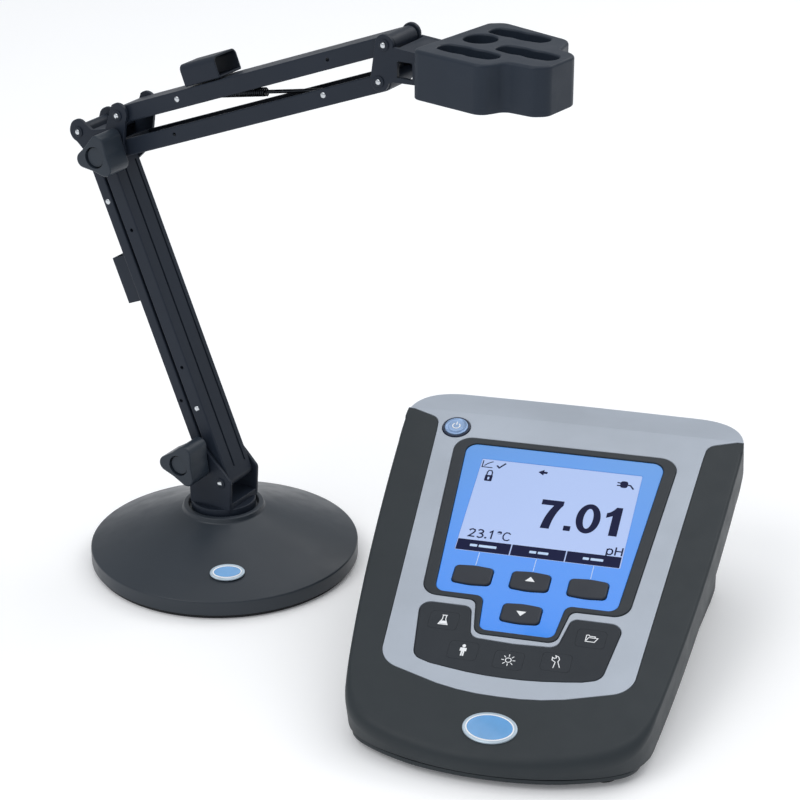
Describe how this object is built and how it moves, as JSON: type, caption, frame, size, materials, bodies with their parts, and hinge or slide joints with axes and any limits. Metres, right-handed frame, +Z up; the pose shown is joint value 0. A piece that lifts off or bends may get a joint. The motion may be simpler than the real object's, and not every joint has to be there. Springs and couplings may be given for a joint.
{
  "type": "ph meter",
  "caption": "Benchtop pH meter with a sloping blue display window, rubber keys and rear sockets, beside a round-based stand whose parallel-link arm carries a slotted electrode block.",
  "frame": {"origin": "bottom centre of the whole set's bounding box, on the table top", "axes": "+Z up, +X to the right seen from the front of the meter, +Y towards the rear of the meter"},
  "size_m": [0.3486, 0.2576, 0.304],
  "materials": {
    "silver_shell": "fine satin, silver",
    "charcoal_shell": "fine matte texture",
    "window_frame": "matte",
    "blue_lens": "polished",
    "screen": "smooth",
    "keypad": "matte",
    "key": "fine matte",
    "board": "green laminate",
    "button_ring": "satin",
    "button": "satin metallic",
    "badge": "polished, domed",
    "rubber_foot": "matte",
    "dark_panel": "fine matte",
    "socket": "bright",
    "cell": "printed sleeve",
    "base_shell": "satin",
    "ballast": "raw",
    "arm": "satin",
    "pin": "polished",
    "spring_wire": "bright wire"
  },
  "bodies": {
    "meter": {"top_bezel": "silver_shell", "upper_housing": "charcoal_shell", "window_bezel": "window_frame", "display_lens": "blue_lens", "lcd_module": "screen", "keypad_mat": "keypad", "main_board": "board", "power_ring": "button_ring", "meter_badge": "badge", "lower_housing": "charcoal_shell", "battery_door": "charcoal_shell", "foot_1": "rubber_foot", "foot_2": "rubber_foot", "foot_3": "rubber_foot", "foot_4": "rubber_foot", "rear_panel": "dark_panel", "probe_socket_1": "socket", "probe_socket_2": "socket", "usb_a_port": "socket", "usb_b_port": "socket", "dc_jack": "socket", "battery_1": "cell", "battery_2": "cell", "battery_3": "cell", "battery_4": "cell"},
    "key_left_body": {"key_left": "key"},
    "key_right_body": {"key_right": "key"},
    "key_up_body": {"key_up": "key"},
    "key_down_body": {"key_down": "key"},
    "key_sample_body": {"key_sample": "key"},
    "key_user_body": {"key_user": "key"},
    "key_backlight_body": {"key_backlight": "key"},
    "key_settings_body": {"key_settings": "key"},
    "key_data_body": {"key_data": "key"},
    "power_button_body": {"power_button": "button"},
    "stand_base": {"stand_base_cover": "base_shell", "stand_base_weight": "ballast", "stand_base_pad": "rubber_foot", "stand_badge": "badge"},
    "swivel": {"stand_swivel": "arm", "base_pin": "pin"},
    "base_knob_body": {"base_knob": "arm"},
    "rear_link_body": {"rear_link": "arm", "cable_clip_lower": "arm", "spring_lower": "spring_wire"},
    "front_link_body": {"front_link": "arm"},
    "elbow": {"elbow_yoke": "arm", "elbow_pin_rear": "pin", "elbow_pin_front": "pin", "elbow_pin_top": "pin"},
    "elbow_knob_body": {"elbow_knob": "arm"},
    "upper_top_body": {"upper_link_top": "arm", "cable_clip_upper": "arm", "spring_upper": "spring_wire"},
    "upper_bottom_body": {"upper_link_bottom": "arm", "spring_rod": "spring_wire"},
    "head": {"head_bracket": "arm", "head_pin_top": "pin", "head_pin_bottom": "pin", "electrode_block": "arm"}
  },
  "joints": [
    {"name": "stand_slide", "type": "slide", "parent": "meter", "child": "stand_base", "axis": [1, 0, 0], "range_m": [-0.06, 0.015]},
    {"name": "swivel", "type": "hinge", "parent": "stand_base", "child": "swivel", "pos_m": [-0.09541, 0.05779, 0.031], "axis": [0, 0, 1], "range_deg": [-160, 160]},
    {"name": "lower_arm", "type": "hinge", "parent": "swivel", "child": "front_link_body", "pos_m": [-0.08791, 0.05563, 0.0502], "axis": [0.2773, 0.9608, 0], "range_deg": [-3, 55]},
    {"name": "rear_link_pivot", "type": "hinge", "parent": "swivel", "child": "rear_link_body", "pos_m": [-0.10175, 0.05962, 0.0636], "axis": [0.2773, 0.9608, 0], "range_deg": [-3, 55], "deforming": ["spring_lower"]},
    {"name": "elbow_level", "type": "hinge", "parent": "front_link_body", "child": "elbow", "pos_m": [-0.15171, 0.07404, 0.2148], "axis": [0.2773, 0.9608, 0], "range_deg": [-55, 3]},
    {"name": "upper_arm", "type": "hinge", "parent": "elbow", "child": "upper_bottom_body", "pos_m": [-0.14392, 0.07179, 0.2228], "axis": [0.2773, 0.9608, 0], "range_deg": [-20, 50], "deforming": ["spring_rod"]},
    {"name": "upper_link_pivot", "type": "hinge", "parent": "elbow", "child": "upper_top_body", "pos_m": [-0.14143, 0.07107, 0.2406], "axis": [0.2773, 0.9608, 0], "range_deg": [-20, 50], "deforming": ["spring_upper"]},
    {"name": "head_level", "type": "hinge", "parent": "upper_bottom_body", "child": "head", "pos_m": [0.00577, 0.02859, 0.2813], "axis": [0.2773, 0.9608, 0], "range_deg": [-50, 20]},
    {"name": "base_knob_turn", "type": "hinge", "parent": "swivel", "child": "base_knob_body", "pos_m": [-0.10175, 0.05962, 0.0636], "axis": [0.2773, 0.9608, 0], "range_deg": [-60, 60]},
    {"name": "elbow_knob_turn", "type": "hinge", "parent": "elbow", "child": "elbow_knob_body", "pos_m": [-0.14392, 0.07179, 0.2228], "axis": [0.2773, 0.9608, 0], "range_deg": [-60, 60]},
    {"name": "key_left_press", "type": "slide", "parent": "meter", "child": "key_left_body", "axis": [0, -0.3256, 0.9455], "range_m": [-0.001, 0], "stiffness_N_per_m": 200, "springref_m": 0.0005},
    {"name": "key_right_press", "type": "slide", "parent": "meter", "child": "key_right_body", "axis": [0, -0.3256, 0.9455], "range_m": [-0.001, 0], "stiffness_N_per_m": 200, "springref_m": 0.0005},
    {"name": "key_up_press", "type": "slide", "parent": "meter", "child": "key_up_body", "axis": [0, -0.3256, 0.9455], "range_m": [-0.001, 0], "stiffness_N_per_m": 200, "springref_m": 0.0005},
    {"name": "key_down_press", "type": "slide", "parent": "meter", "child": "key_down_body", "axis": [0, -0.3256, 0.9455], "range_m": [-0.001, 0], "stiffness_N_per_m": 200, "springref_m": 0.0005},
    {"name": "key_sample_press", "type": "slide", "parent": "meter", "child": "key_sample_body", "axis": [0, -0.3256, 0.9455], "range_m": [-0.001, 0], "stiffness_N_per_m": 200, "springref_m": 0.0005},
    {"name": "key_user_press", "type": "slide", "parent": "meter", "child": "key_user_body", "axis": [0, -0.3256, 0.9455], "range_m": [-0.001, 0], "stiffness_N_per_m": 200, "springref_m": 0.0005},
    {"name": "key_backlight_press", "type": "slide", "parent": "meter", "child": "key_backlight_body", "axis": [0, -0.3256, 0.9455], "range_m": [-0.001, 0], "stiffness_N_per_m": 200, "springref_m": 0.0005},
    {"name": "key_settings_press", "type": "slide", "parent": "meter", "child": "key_settings_body", "axis": [0, -0.3256, 0.9455], "range_m": [-0.001, 0], "stiffness_N_per_m": 200, "springref_m": 0.0005},
    {"name": "key_data_press", "type": "slide", "parent": "meter", "child": "key_data_body", "axis": [0, -0.3256, 0.9455], "range_m": [-0.001, 0], "stiffness_N_per_m": 200, "springref_m": 0.0005},
    {"name": "power_button_press", "type": "slide", "parent": "meter", "child": "power_button_body", "axis": [0, -0.3256, 0.9455], "range_m": [-0.001, 0], "stiffness_N_per_m": 200, "springref_m": 0.0005}
  ],
  "couplings": [
    {"joint": "rear_link_pivot", "follows": "lower_arm", "ratio": 1},
    {"joint": "elbow_level", "follows": "lower_arm", "ratio": -1},
    {"joint": "upper_link_pivot", "follows": "upper_arm", "ratio": 1},
    {"joint": "head_level", "follows": "upper_arm", "ratio": -1}
  ]
}
